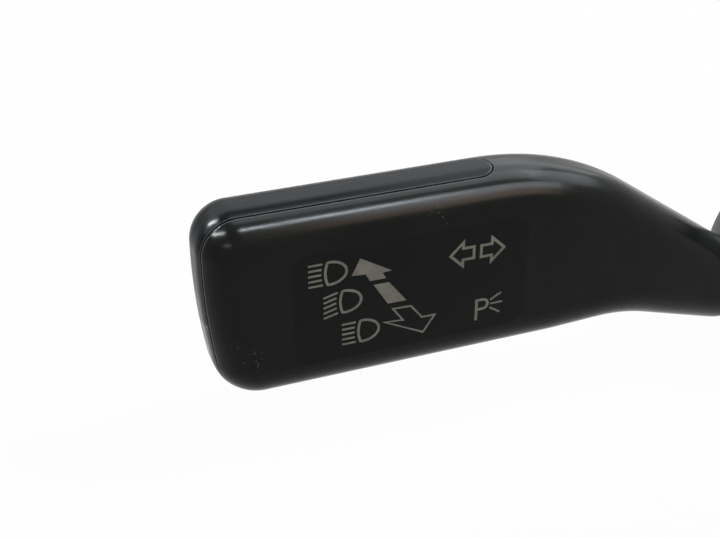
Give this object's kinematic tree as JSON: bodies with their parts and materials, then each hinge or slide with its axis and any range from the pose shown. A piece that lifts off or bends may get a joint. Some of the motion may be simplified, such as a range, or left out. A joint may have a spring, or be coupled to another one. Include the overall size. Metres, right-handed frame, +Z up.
{
  "type": "combination stalk switch",
  "caption": "Column stalk switch: a cranked two-shell lever worked by hand, on a plug-in module that pivots up and down for the turn lamps and fore and aft for the beam",
  "frame": {"origin": "on the switch module's rear seat face, straight behind the point where the two hinge axes cross", "axes": "+X from the lever's tip towards the steering column, +Y away from the driver along the column, +Z up"},
  "size_m": [0.1777, 0.025, 0.0562],
  "materials": {
    "shell": "fine satin grain",
    "shell_gloss": "satin",
    "shield": "satin",
    "arm": "glass filled nylon",
    "carrier": "natural acetal",
    "acetal": "natural acetal",
    "housing": "matt",
    "steel": "plain",
    "spring_steel": "drawn wire",
    "copper": "plain",
    "tin": "tinned",
    "board": "lacquered laminate"
  },
  "bodies": {
    "housing": {"housing_base": "housing", "housing_lid": "housing", "housing_screws": "steel", "circuit_board": "board", "board_contacts": "copper", "terminal_pins": "tin", "connector_header": "housing", "slider_frame": "housing", "turn_cam": "acetal", "contact_block": "housing", "leaf_contacts": "copper"},
    "carrier": {"carrier": "carrier", "beam_pin": "steel", "turn_spring": "spring_steel", "pawl_spring": "spring_steel"},
    "lever": {"lever_body": "shell", "rear_cover": "shell", "blank_cap": "shell_gloss", "dust_shield": "shield", "lever_arm": "arm", "arm_screw": "steel", "contact_finger": "steel", "beam_spring": "spring_steel"},
    "turn_plunger": {"turn_plunger": "acetal"},
    "beam_plunger": {"beam_plunger": "steel"},
    "turn_slider": {"turn_slider": "acetal", "slider_contacts": "copper"},
    "cancel_pawl": {"cancel_pawl": "acetal"}
  },
  "joints": [
    {"name": "turn_hinge", "type": "hinge", "parent": "housing", "child": "carrier", "pos_m": [0, -0.0125, 0], "axis": [0, 1, 0], "range_deg": [-11, 11]},
    {"name": "beam_hinge", "type": "hinge", "parent": "carrier", "child": "lever", "pos_m": [0, -0.0125, 0], "axis": [0, 0, 1], "range_deg": [-7, 7], "stiffness_Nm_per_rad": 0.6},
    {"name": "turn_slider_slide", "type": "slide", "parent": "housing", "child": "turn_slider", "axis": [0, 0, 1], "range_m": [-0.0036, 0.0036]},
    {"name": "turn_plunger_slide", "type": "slide", "parent": "carrier", "child": "turn_plunger", "axis": [1, 0, 0], "range_m": [-0.0005, 0.00045], "stiffness_N_per_m": 800},
    {"name": "beam_plunger_slide", "type": "slide", "parent": "lever", "child": "beam_plunger", "axis": [1, 0, 0], "range_m": [-0.0005, 0.00045], "stiffness_N_per_m": 800},
    {"name": "cancel_pawl_slide", "type": "slide", "parent": "carrier", "child": "cancel_pawl", "axis": [1, 0, 0], "range_m": [-0.002, 0], "stiffness_N_per_m": 300}
  ],
  "couplings": [
    {"joint": "turn_slider_slide", "follows": "turn_hinge", "m_per_rad": -0.018}
  ]
}
